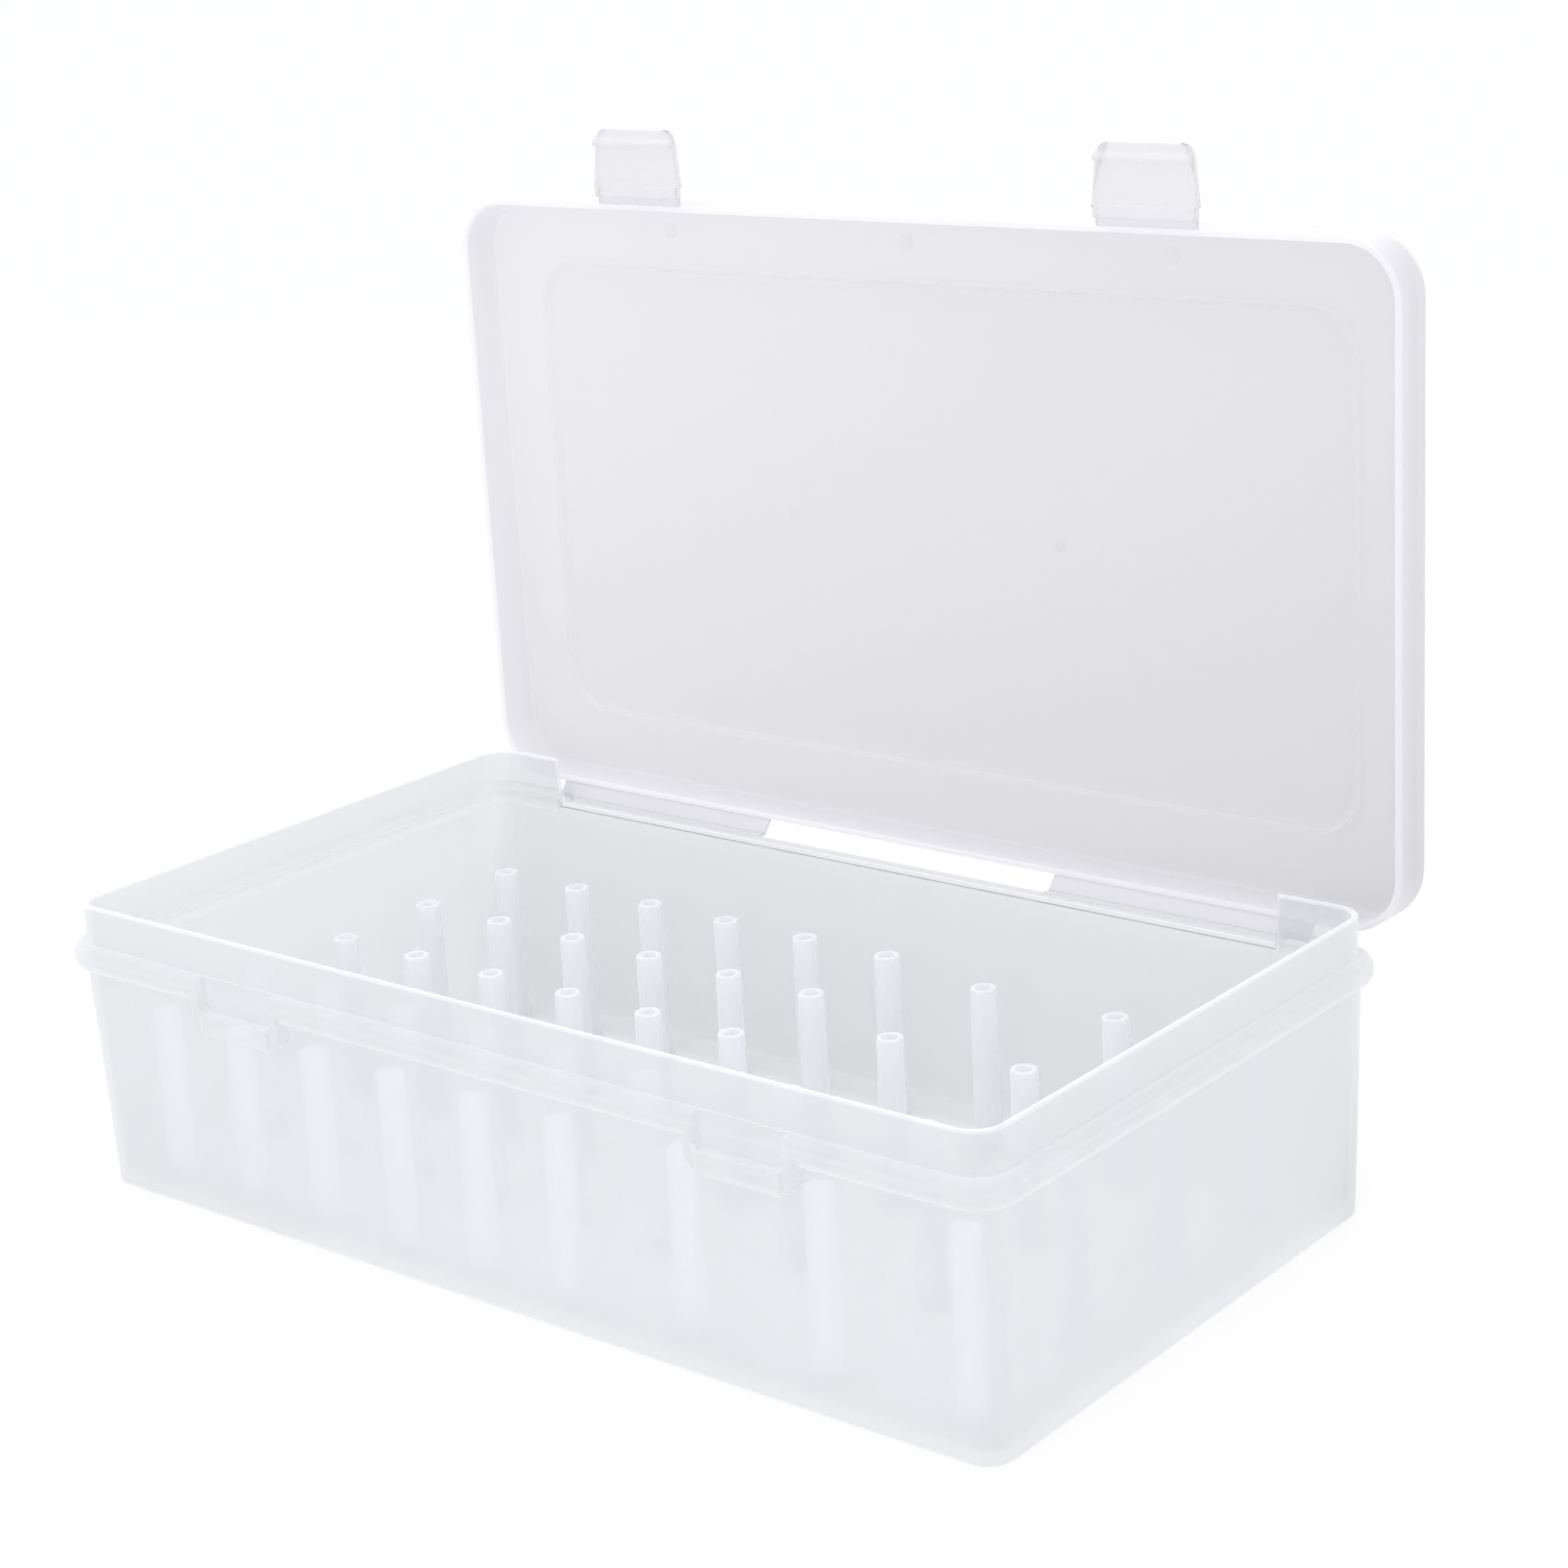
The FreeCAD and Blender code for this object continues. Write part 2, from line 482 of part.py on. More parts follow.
def stand_open(lid, webs, latches):
    """Turn the lid, and the webs half as far, from closed to the open attitude."""
    sideways = FreeCAD.Vector(1, 0, 0)
    root_line = FreeCAD.Vector(0, value_of("sheet.hinge_y"), value_of("sheet.hinge_z"))
    web_turn = FreeCAD.Rotation(sideways, value_of("90 + sheet.web_lean - sheet.lid_open / 2"))
    lid_turn = FreeCAD.Rotation(sideways, -value_of("sheet.lid_open"))
    lid_line = root_line + web_turn.multVec(FreeCAD.Vector(0, value_of("sheet.web_span"), 0))
    latch_in_lid = FreeCAD.Vector(0, value_of("-sheet.lid_width - sheet.film - 2 * sheet.film_gap"),
                                  value_of("sheet.film / 2 - sheet.skirt_drop"))
    latch_line = lid_line + lid_turn.multVec(latch_in_lid)
    lid.Placement = FreeCAD.Placement(lid_line, lid_turn)
    for web in webs:
        web.Placement = FreeCAD.Placement(root_line, web_turn)
    for latch in latches:
        latch.Placement = FreeCAD.Placement(latch_line, lid_turn)
    print("lid hinge line", lid_line)
    print("latch hinge line", latch_line)


def check(bodies):
    """Stop on any failed feature or bad shape, and list what was made."""
    for item in doc.Objects:
        bad = [word for word in item.State if word in ("Invalid", "Error")]
        assert not bad, "%s is %s" % (item.Label, bad)
    for body in bodies:
        shape = body.Shape
        assert not shape.isNull() and shape.isValid(), "%s has a bad shape" % body.Label
        box = shape.BoundBox
        print("%-20s solids %2d  volume %9.1f  x %.2f..%.2f  y %.2f..%.2f  z %.2f..%.2f" % (
            body.Label, len(shape.Solids), shape.Volume, box.XMin, box.XMax, box.YMin, box.YMax,
            box.ZMin, box.ZMax))


def main():
    tub = make_tub()
    lid = make_lid()
    webs = [make_web("hinge_web_left", "-sheet.web_outer"), make_web("hinge_web_right", "sheet.web_inner")]
    latches = [make_latch("latch_left", "-sheet.catch_x"), make_latch("latch_right", "sheet.catch_x")]
    stand_open(lid, webs, latches)
    bodies = [tub, lid] + webs + latches + make_posts()
    doc.recompute()
    check(bodies)
    os.makedirs("parts", exist_ok=True)
    for body in bodies:
        body.Shape.exportStep(os.path.join("parts", body.Label + ".step"))


main()
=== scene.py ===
"""Looks of the bobbin box: one frosted polypropylene moulding, shown on a pale studio floor.

Metres, +Z up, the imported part's own frame. Every piece is a clean mesh built over its CAD node:
closed profiles carried round a rounded rectangle (tub, lid), along a line (webs, latches) or
round an axis (posts, moulding marks).
"""
import json
import math

import bmesh
import bpy
import numpy as np
from mathutils import Matrix, Vector


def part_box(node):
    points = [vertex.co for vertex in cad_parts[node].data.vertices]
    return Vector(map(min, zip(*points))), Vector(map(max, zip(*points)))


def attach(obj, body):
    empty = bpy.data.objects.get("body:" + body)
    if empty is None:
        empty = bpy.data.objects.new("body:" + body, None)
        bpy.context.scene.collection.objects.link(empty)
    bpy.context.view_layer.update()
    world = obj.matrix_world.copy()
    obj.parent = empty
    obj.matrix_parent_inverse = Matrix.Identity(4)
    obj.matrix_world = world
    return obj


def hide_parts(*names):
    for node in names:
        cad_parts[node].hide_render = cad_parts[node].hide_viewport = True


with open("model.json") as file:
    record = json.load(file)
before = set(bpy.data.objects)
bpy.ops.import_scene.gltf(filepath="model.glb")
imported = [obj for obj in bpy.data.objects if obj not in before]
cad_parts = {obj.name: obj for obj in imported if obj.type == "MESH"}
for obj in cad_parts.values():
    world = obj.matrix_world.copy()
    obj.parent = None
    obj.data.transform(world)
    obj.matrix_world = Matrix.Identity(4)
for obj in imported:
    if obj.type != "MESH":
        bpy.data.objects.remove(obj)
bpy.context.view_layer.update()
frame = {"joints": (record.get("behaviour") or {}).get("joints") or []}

MM = 0.001
JOINTS = {joint["name"]: joint for joint in frame["joints"]}

# Spacing of the rings and places that make up the meshes.
WALL_STEP, LIP_STEP, SKIRT_STEP, FINE_STEP = 4 * MM, 1.7 * MM, 1.6 * MM, 0.2 * MM
NEAREST_PLACES = 0.06 * MM   # places closer than this become one
TUB_CORNER_STEPS, LID_CORNER_STEPS = 12, 14

# Tub. Offsets are measured outwards from the outer face of its lip.
BEAD_PROUD = 3.1 * MM
BEAD_LOW, BEAD_HIGH = 49.8 * MM, 56.0 * MM
BEAD_ROUND_LOW, BEAD_ROUND_HIGH = 3.2 * MM, 2.2 * MM
TUB_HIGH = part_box("tub")[1]
LIP_HALF_X = TUB_HIGH.x - BEAD_PROUD
LIP_HALF_Y = 66.0 * MM
LIP_CORNER = 6.5 * MM
CORNER_MARGIN = 1.2 * MM
LIP_WALL = 1.1 * MM
LIP_TOP = TUB_HIGH.z
LIP_EDGE = 0.42 * MM
WALL = 1.5 * MM
WALL_TOP = 52.0 * MM
WALL_FLARE = 0.6 * MM
BASE_INSET = 0.8 * MM
BASE_ROUND = 0.7 * MM
FLOOR = 1.7 * MM
FLOOR_ROUND = 1.2 * MM
GROOVE_LOW, GROOVE_MID, GROOVE_HIGH = 50.9 * MM, 52.9 * MM, 54.8 * MM
GROOVE_DEEP = 1.6 * MM

# Rear of the tub: the lip is cut down to a rail between two shoulders, a sliver of it keeps the rings
# apart, and the ledges that carry the film hinge stand on the rail.
REAR_GAP, REAR_SLOPE, REAR_SLIVER = 98.8 * MM, 0.8 * MM, 0.05 * MM
RAIL_TOP, RAIL_ROUND, RAIL_LEAN = 53.35 * MM, 0.7 * MM, 0.7
ROOT_PROUD, ROOT_HIGH, ROOT_INNER_SHARE = 3.9 * MM, 0.5 * MM, 0.69
LIP_FILLET, LIP_FILLET_RISE = 0.25 * MM, 0.07 * MM
HAIR = 0.02 * MM   # keeps two rings apart where a face is upright

# Catches on the front bead.
CATCH_X = 67.0 * MM
FRAME_HALF, FRAME_LOW, FRAME_HIGH = 13.2 * MM, 44.0 * MM, 54.2 * MM
FRAME_CORNER, FRAME_PROUD = 4.5 * MM, 3.0 * MM
CATCH_MARGIN = 1.2 * MM
RECESS_HALF, RECESS_LOW, RECESS_CORNER, RECESS_PROUD = 10.5 * MM, 48.8 * MM, 2.0 * MM, 1.2 * MM
BAR_HALF, BAR_HIGH, BAR_CORNER, BAR_PROUD = 10.0 * MM, 48.6 * MM, 0.8 * MM, 3.6 * MM
STEP_SOFTNESS = 0.3 * MM

# Film hinges.
WEB_INNER, WEB_OUTER, FILM = 39.7 * MM, 103.5 * MM, 0.5 * MM
WEB_EDGE, WEB_END_SHRINK = 0.08 * MM, 0.12

# Lid, in its own frame: u along X, v away from the hinge line, n towards its outside.
LID_LOW, LID_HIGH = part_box("lid")
LID_HALF_U = LID_HIGH.x
LID_HALF_V = (LID_HIGH.z - LID_LOW.z) / 2
LID_CORNER = 12.5 * MM
LID_DEEP = 11.35 * MM
LID_WALL = 1.3 * MM
LID_ROUND = 2.0 * MM
LID_ROUND_INSIDE = 0.9 * MM
SKIRT_DROP = 0.5 * MM
SKIRT_EDGE = 0.4 * MM
PANEL_HALF_U, PANEL_HALF_V = 108.25 * MM, 54.5 * MM
PANEL_CORNER = 10.5 * MM
PANEL_RISE = 1.5 * MM
PANEL_DRAFT = 1.1 * MM
# Painted glow (emission) on the rings of the panel's step inside the lid.
PANEL_GLOW = 0.1
PIN_MARK_U, PIN_MARK_INSET, PIN_MARK_RADIUS = 66.8 * MM, 6.9 * MM, 1.8 * MM
GATE_U, GATE_RADIUS = 36.3 * MM, 1.3 * MM
MARK_SEGMENTS = 24

# Latches, in the lid's frame from their own hinge line.
LATCH_LONG = 16.4 * MM
LATCH_ROOT_HALF, LATCH_TIP_HALF, LATCH_CORNER = 12.5 * MM, 11.2 * MM, 2.5 * MM
LATCH_INSIDE, LATCH_OUTSIDE = 0.7 * MM, 0.5 * MM
# Latch edge rounding, and the painted glow (emission) on the latches' side edges.
LATCH_EDGE, LATCH_EDGE_GLOW = 0.18 * MM, 0.4
KNUCKLE_START, KNUCKLE_END, KNUCKLE_INSIDE = 1.3 * MM, 3.9 * MM, 1.3 * MM
KNUCKLE_INSET = 0.5 * MM
HOOK_START, HOOK_END, HOOK_INSIDE = 12.75 * MM, 14.55 * MM, 1.7 * MM

# Posts.
POST_HEAD, POST_FOOT, POST_BORE = 2.8 * MM, 3.05 * MM, 1.75 * MM
POST_EDGE, POST_SINK = 0.35 * MM, 0.3 * MM
POST_SEGMENTS = 40
POST_ROWS = (("small_posts_row_%d", 5, 6), ("large_posts_row_%d", 4, 3))   # name, rows, posts in a row


# ---------------------------------------------------------------- mesh helpers

def mesh_from_rings(name, rings, edges=None, close_ends=True):
    """Skin a stack of closed rings, shaped (rings, points, 3), and cap both ends.

    edges says for each ring how far it lies on a free edge of the sheet, from 0 to 1: the weight of the
    painted glow (emission) laid there; the lid panel's step gets a little too.
    """
    rings = np.asarray(rings, float)
    count, size = rings.shape[:2]
    faces = []
    for ring in range(count - 1):
        for point in range(size):
            following = (point + 1) % size
            faces.append((ring * size + point, ring * size + following,
                          (ring + 1) * size + following, (ring + 1) * size + point))
    if close_ends:
        faces.append(tuple(range(size))[::-1])
        faces.append(tuple((count - 1) * size + point for point in range(size)))
    mesh = bpy.data.meshes.new(name)
    mesh.from_pydata(rings.reshape(-1, 3).tolist(), [], faces)
    attribute = mesh.attributes.new("free_edge", "FLOAT", "POINT")
    on_edge = np.zeros(count) if edges is None else np.asarray(edges, float)
    attribute.data.foreach_set("value", np.repeat(on_edge, size))
    return mesh


def finish_mesh(mesh):
    """Point the normals outwards and shade smoothly."""
    work = bmesh.new()
    work.from_mesh(mesh)
    bmesh.ops.recalc_face_normals(work, faces=work.faces)
    work.to_mesh(mesh)
    work.free()
    mesh.polygons.foreach_set("use_smooth", [True] * len(mesh.polygons))
    mesh.update()
    return mesh


def join_meshes(name, meshes):
    """One mesh that holds several closed islands."""
    work = bmesh.new()
    for mesh in meshes:
        work.from_mesh(mesh)
        bpy.data.meshes.remove(mesh)
    joined = bpy.data.meshes.new(name)
    work.to_mesh(joined)
    work.free()
    return joined


def add_piece(name, mesh, material, body, *nodes):
    """Put a finished mesh on its body, in place of the CAD nodes that it shows."""
    piece = bpy.data.objects.new(name, finish_mesh(mesh))
    bpy.context.scene.collection.objects.link(piece)
    mesh.materials.append(material)
    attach(piece, body)
    if nodes:
        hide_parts(*nodes)
    return piece


def arc(centre_a, centre_b, radius, first, last, steps):
    """Points on an arc in a profile's plane; angles in degrees."""
    angles = np.radians(np.linspace(first, last, steps + 1))
    return [(centre_a + radius * math.cos(angle), centre_b + radius * math.sin(angle)) for angle in angles]


def rounded_plan(half_x, half_y, radius, x_places, y_places, corner_steps):
    """Points and outward normals round a rounded rectangle, front side first, anticlockwise.

    The places along the straight sides are positions; the corners join them.
    """
    flat_x, flat_y = half_x - radius, half_y - radius
    points, normals = [], []

    def side(places, across, normal, along_x):
        for place in places:
            points.append((place, across) if along_x else (across, place))
            normals.append(normal)

    def corner(centre_x, centre_y, first):
        for angle in np.radians(np.linspace(first, first + 90, corner_steps + 1)):
            normal = (math.cos(angle), math.sin(angle))
            points.append((centre_x + radius * normal[0], centre_y + radius * normal[1]))
            normals.append(normal)

    side(x_places, -half_y, (0, -1), True)
    corner(flat_x, -flat_y, -90)
    side(y_places, half_x, (1, 0), False)
    corner(flat_x, flat_y, 0)
    side(x_places[::-1], half_y, (0, 1), True)
    corner(-flat_x, flat_y, 90)
    side(y_places[::-1], -half_x, (-1, 0), False)
    corner(-flat_x, -flat_y, 180)
    return np.array(points), np.array(normals, float)


def smooth_step(value):
    """0 below 0, 1 above 1 and a soft S between."""
    value = np.clip(value, 0, 1)
    return value * value * (3 - 2 * value)


def inside_box(across, along, half_across, low, high, corner):
    """1 inside a round-cornered box drawn on a wall, 0 outside, with a soft edge."""
    middle, half = (low + high) / 2, (high - low) / 2
    out_across = np.abs(across) - (half_across - corner)
    out_along = np.abs(along - middle) - (half - corner)
    outside = np.hypot(np.maximum(out_across, 0), np.maximum(out_along, 0))
    distance = outside + np.minimum(np.maximum(out_across, out_along), 0) - corner
    return smooth_step(0.5 - distance / STEP_SOFTNESS)


# ---------------------------------------------------------------- tub

def spread(first, last, step):
    """Even places from first to last, about a step apart."""
    return list(np.linspace(first, last, max(2, int(round((last - first) / step)) + 1)))


def tub_x_places():
    """Places along the long sides: even, and close together wherever a feature has an edge."""
    half = spread(0, LIP_HALF_X - LIP_CORNER - CORNER_MARGIN, WALL_STEP)
    for side in (-1, 1):
        edges = spread(FRAME_HALF - FRAME_CORNER - 0.4 * MM, FRAME_HALF + 0.4 * MM, FINE_STEP)
        half += [CATCH_X + side * edge for edge in edges]
    half += spread(REAR_GAP - 0.4 * MM, REAR_GAP + REAR_SLOPE + 0.4 * MM, 0.1 * MM)
    half += spread(WEB_INNER - 0.25 * MM, WEB_INNER + 0.25 * MM, 0.1 * MM)
    places = []
    for place in sorted(half):
        if not places or place - places[-1] > NEAREST_PLACES:
            places.append(place)
    return np.array([-place for place in places[:0:-1]] + places)


def bead_face(height):
    """How far the bead stands out at each height; far below the wall where there is none."""
    low_centre, high_centre = BEAD_LOW + BEAD_ROUND_LOW, BEAD_HIGH - BEAD_ROUND_HIGH
    drop_low = np.clip(low_centre - height, 0, BEAD_ROUND_LOW)
    drop_high = np.clip(height - high_centre, 0, BEAD_ROUND_HIGH)
    face = (BEAD_PROUD - (BEAD_ROUND_LOW - np.sqrt(BEAD_ROUND_LOW ** 2 - drop_low ** 2))
            - (BEAD_ROUND_HIGH - np.sqrt(BEAD_ROUND_HIGH ** 2 - drop_high ** 2)))
    return np.where(height < BEAD_LOW, -1.0, face)


def wall_face(height):
    """The plain wall's offset: it leans out from the base up to the bead."""
    return -BASE_INSET + (BASE_INSET + WALL_FLARE) * np.minimum(height, WALL_TOP) / WALL_TOP


def outer_face(places, normals, height):
    """The offset of the tub's outer face at every place round it, at that place's height."""
    face = np.maximum(wall_face(height), bead_face(height))
    across = np.abs(places[:, 0]) - CATCH_X
    on_frame = inside_box(across, height, FRAME_HALF, FRAME_LOW, FRAME_HIGH, FRAME_CORNER)
    framed = np.maximum(face, face + (FRAME_PROUD - face) * on_frame)
    in_recess = inside_box(across, height, RECESS_HALF, RECESS_LOW, LIP_TOP, RECESS_CORNER)
    caught = framed + (RECESS_PROUD - framed) * in_recess
    on_bar = inside_box(across, height, BAR_HALF, FRAME_LOW, BAR_HIGH, BAR_CORNER)
    caught = np.maximum(caught, caught + (BAR_PROUD - caught) * on_bar)
    front = normals[:, 1] < -0.99
    return np.where(front & (height > FRAME_LOW - CATCH_MARGIN), caught, face)


def squeezed(height, foot, head, new_head):
    """Heights above the foot drawn together so that the head comes down to its new level."""
    return np.where(height > foot, foot + (height - foot) * (new_head - foot) / (head - foot), height)


def tub_outer_levels():
    """Heights of the rings up the outer face: close together across the bead and the catches."""
    feature_low = FRAME_LOW - 0.6 * MM
    levels = spread(BASE_ROUND + 1 * MM, feature_low - 1 * MM, WALL_STEP)
    levels += spread(feature_low, BEAD_HIGH - FINE_STEP, FINE_STEP)
    levels += [BEAD_HIGH - 0.1 * MM, BEAD_HIGH - 0.04 * MM]
    return levels


def make_tub(material):
    """Rings from the underside up the outside, over the rim and down the inside to the floor."""
    x_places = tub_x_places()
    y_reach = LIP_HALF_Y - LIP_CORNER - CORNER_MARGIN
    plan, normals = rounded_plan(LIP_HALF_X, LIP_HALF_Y, LIP_CORNER, x_places,
                                 np.array(spread(-y_reach, y_reach, WALL_STEP)), TUB_CORNER_STEPS)
    rear, along = normals[:, 1] > 0.99, np.abs(plan[:, 0])
    shoulder = np.clip((along - REAR_GAP) / REAR_SLOPE, 0, 1)
    ceiling = np.where(rear, RAIL_TOP + (LIP_TOP - RAIL_TOP) * shoulder, LIP_TOP)
    bead_top = np.minimum(ceiling, BEAD_HIGH)
    lip_share = np.maximum(ceiling - bead_top, REAR_SLIVER) / (LIP_TOP - BEAD_HIGH)
    brink = np.where(ceiling < BEAD_HIGH, RAIL_ROUND, 0.0)
    lean = brink * RAIL_LEAN
    lip_foot = lean + LIP_FILLET
    on_root = np.where(rear & (along > WEB_INNER) & (along < REAR_GAP), 1.0, 0.0)
    rings, edges = [], []

    def ring(offset, height, edge=0.0):
        offset = np.broadcast_to(offset, along.shape)
        height = np.broadcast_to(height, along.shape)
        rings.append(np.column_stack([plan + normals * offset[:, None], height]))
        edges.append(edge)

    def lip_ring(offset, height, edge=0.0):
        ring(offset, bead_top + (height - BEAD_HIGH) * lip_share, edge)

    ring(-BASE_INSET - BASE_ROUND - 2 * MM, 0)
    ring(-BASE_INSET - BASE_ROUND - 0.3 * MM, 0)
    for offset, height in arc(-BASE_INSET - BASE_ROUND, BASE_ROUND, BASE_ROUND, -90, 0, 5):
        ring(offset, height)
    for level in tub_outer_levels():
        height = squeezed(level, BEAD_LOW, BEAD_HIGH, bead_top)
        ring(outer_face(plan, normals, height), height)
    rim = outer_face(plan, normals, bead_top)
    ledge = rim + (ROOT_PROUD - rim) * on_root
    ring(ledge, bead_top)
    ring(ledge - HAIR, bead_top + ROOT_HIGH * on_root)
    ring(rim * ROOT_INNER_SHARE, bead_top + ROOT_HIGH * on_root)
    ring(rim * ROOT_INNER_SHARE - HAIR, bead_top)
    ring(lip_foot + (rim - lip_foot) / 3, bead_top)
    ring(lip_foot, bead_top)
    lip_ring(lean + LIP_FILLET_RISE, BEAD_HIGH + LIP_FILLET_RISE)
    lip_ring(lean, BEAD_HIGH + LIP_FILLET)
    for height in spread(BEAD_HIGH + 1 * MM, LIP_TOP - LIP_EDGE - 0.3 * MM, LIP_STEP):
        lip_ring(lean, height)
    for offset, height in arc(-LIP_EDGE, LIP_TOP - LIP_EDGE, LIP_EDGE, 0, 90, 5):
        lip_ring(offset + lean, height, 1.0)
    for offset, height in arc(LIP_EDGE - LIP_WALL, LIP_TOP - LIP_EDGE, LIP_EDGE, 90, 180, 5):
        lip_ring(offset + brink, height, 1.0)
    for height in spread(BEAD_HIGH, LIP_TOP - LIP_EDGE - 0.3 * MM, LIP_STEP)[::-1]:
        lip_ring(-LIP_WALL + brink, height)
    for outset, drop in arc(1.0, -1.0, 1.0, 100, 180, 4):
        ring(-LIP_WALL + brink * outset, bead_top + RAIL_ROUND * drop)
    groove_foot, groove_head = GROOVE_LOW - 0.3 * MM, GROOVE_HIGH + 0.3 * MM
    for level in spread(groove_foot, groove_head, FINE_STEP)[::-1]:
        depth = np.where(ceiling < LIP_TOP, 0.0, groove_depth(level))
        ring(-LIP_WALL + depth, squeezed(level, groove_foot - 0.1 * MM, BEAD_HIGH, bead_top))
    floor_wall = float(wall_face(FLOOR)) - WALL
    for height in spread(FLOOR + FLOOR_ROUND + 1 * MM, GROOVE_LOW - 2 * MM, WALL_STEP)[::-1]:
        ring(float(wall_face(height)) - WALL, height)
    for offset, height in arc(floor_wall - FLOOR_ROUND, FLOOR + FLOOR_ROUND, FLOOR_ROUND, 0, -90, 6):
        ring(offset, height)
    ring(floor_wall - FLOOR_ROUND - 0.3 * MM, FLOOR)
    ring(floor_wall - FLOOR_ROUND - 1 * MM, FLOOR)
    add_piece("tub_moulding", mesh_from_rings("tub_moulding", rings, edges), material, "tub_body", "tub")


def groove_depth(height):
    """The hollow behind the bead: two sloping faces that meet in a rounded valley."""
    if height < GROOVE_MID:
        share = (height - GROOVE_LOW) / (GROOVE_MID - GROOVE_LOW)
    else:
        share = (GROOVE_HIGH - height) / (GROOVE_HIGH - GROOVE_MID)
    return GROOVE_DEEP * float(smooth_step(share * 0.9))


# ---------------------------------------------------------------- lid

def lid_to_world(points):
    """From the lid's own (u, v, n), measured from its hinge line, to where it stands at rest."""
    points = np.asarray(points, float)
    hinge = JOINTS["upper_film_hinge"]["pos_m"]
    return np.stack([points[..., 0], hinge[1] + points[..., 2], hinge[2] + points[..., 1]], axis=-1)


def make_lid(material):
    """Rings from the raised panel out over the skirt, round its edge and in to the panel's inside."""
    middle = LID_LOW.z - JOINTS["upper_film_hinge"]["pos_m"][2] + LID_HALF_V
    steps_u, steps_v = 61, 35
    rings, edges = [], []

    def ring(half_u, half_v, corner, n, edge):
        flat_u, flat_v = half_u - corner, half_v - corner
        inner = 1 - 1.0 / steps_u
        plan, _ = rounded_plan(half_u, half_v, corner, np.linspace(-flat_u, flat_u, steps_u) * inner,
                               np.linspace(-flat_v, flat_v, steps_v) * inner, LID_CORNER_STEPS)
        rings.append(np.column_stack([plan[:, 0], middle + plan[:, 1], np.full(len(plan), n)]))
        edges.append(edge)

    def skirt_ring(inset, n, edge=0.0):
        ring(LID_HALF_U - inset, LID_HALF_V - inset, LID_CORNER - inset, n, edge)

    def panel_ring(outset, n, edge=0.0):
        ring(PANEL_HALF_U + outset, PANEL_HALF_V + outset, PANEL_CORNER + outset, n, edge)

    edge, crown = -SKIRT_DROP, LID_DEEP - SKIRT_DROP
    ceiling = crown - LID_WALL
    foot = [(-1.0, 0.0), (-0.85, 0.03), (-0.6, 0.17), (-0.3, 0.36)]
    step = foot + [(0.0, 0.5)] + [(-across, 1 - rise) for across, rise in foot[::-1]]
    half_draft = PANEL_DRAFT / 2
    panel_ring(-6 * MM, crown + PANEL_RISE)
    panel_ring(-2 * MM, crown + PANEL_RISE)
    for across, rise in step[::-1]:
        panel_ring(half_draft - across * half_draft, crown + PANEL_RISE * rise)
    panel_ring(PANEL_DRAFT + 0.5 * MM, crown)
    skirt_ring(LID_ROUND + 3 * MM, crown)
    skirt_ring(LID_ROUND + 0.4 * MM, crown)
    for inset, n in arc(LID_ROUND, crown - LID_ROUND, LID_ROUND, 90, 180, 8):
        skirt_ring(inset, n)
    for n in spread(edge + SKIRT_EDGE + 0.4 * MM, crown - LID_ROUND - 0.4 * MM, SKIRT_STEP)[::-1]:
        skirt_ring(0, n)
    for inset, n in arc(SKIRT_EDGE, edge + SKIRT_EDGE, SKIRT_EDGE, 180, 270, 5):
        skirt_ring(inset, n, 1.0)
    for inset, n in arc(LID_WALL - SKIRT_EDGE, edge + SKIRT_EDGE, SKIRT_EDGE, 270, 360, 5):
        skirt_ring(inset, n, 1.0)
    for n in spread(edge + SKIRT_EDGE + 0.4 * MM, ceiling - LID_ROUND_INSIDE - 0.3 * MM, SKIRT_STEP):
        skirt_ring(LID_WALL, n)
    inner_round = LID_WALL + LID_ROUND_INSIDE
    for inset, n in arc(inner_round, ceiling - LID_ROUND_INSIDE, LID_ROUND_INSIDE, 180, 90, 6):
        skirt_ring(inset, n)
    skirt_ring(inner_round + 0.4 * MM, ceiling)
    skirt_ring(inner_round + 3 * MM, ceiling)
    panel_ring(PANEL_DRAFT - 0.3 * MM, ceiling)
    for across, rise in step:
        panel_ring(-half_draft - across * half_draft, ceiling + PANEL_RISE * rise, PANEL_GLOW)
    panel_ring(-2.5 * MM, ceiling + PANEL_RISE)
    panel_ring(-6 * MM, ceiling + PANEL_RISE)
    mesh = mesh_from_rings("lid_moulding", lid_to_world(rings), edges)
    add_piece("lid_moulding", mesh, material, "lid_body", "lid")
    return middle, ceiling


def mark_mesh(u, v, n, profile):
    """A small round mark on the lid's inside; its profile is (radius, rise towards the inside)."""
    angles = np.linspace(0, 2 * math.pi, MARK_SEGMENTS, endpoint=False)
    rings = [np.column_stack([u + radius * np.cos(angles), v + radius * np.sin(angles),
                              np.full(MARK_SEGMENTS, n - rise)]) for radius, rise in profile]
    return mesh_from_rings("mark", lid_to_world(rings))


def make_lid_marks(material, middle, ceiling):
    """Three ejector marks in the front border and two gate nubs on the panel."""
    rim, low = 0.16 * MM, 0.03 * MM
    pin = [(PIN_MARK_RADIUS, -0.3 * MM), (PIN_MARK_RADIUS, 0.05 * MM), (PIN_MARK_RADIUS - rim / 2, 0.1 * MM),
           (PIN_MARK_RADIUS - rim, 0.05 * MM), (PIN_MARK_RADIUS - 1.4 * rim, low), (0.4 * MM, low)]
    gate = [(GATE_RADIUS, -0.3 * MM), (GATE_RADIUS, 0.2 * MM), (GATE_RADIUS * 0.8, 0.38 * MM),
            (GATE_RADIUS * 0.5, 0.42 * MM), (0.2 * MM, 0.42 * MM)]
    pin_v = middle + LID_HALF_V - PIN_MARK_INSET
    marks = [mark_mesh(u, pin_v, ceiling, pin) for u in (-PIN_MARK_U, 0, PIN_MARK_U)]
    marks += [mark_mesh(u, middle, ceiling + PANEL_RISE, gate) for u in (-GATE_U, GATE_U)]
    add_piece("lid_moulding_marks", join_meshes("lid_moulding_marks", marks), material, "lid_body")


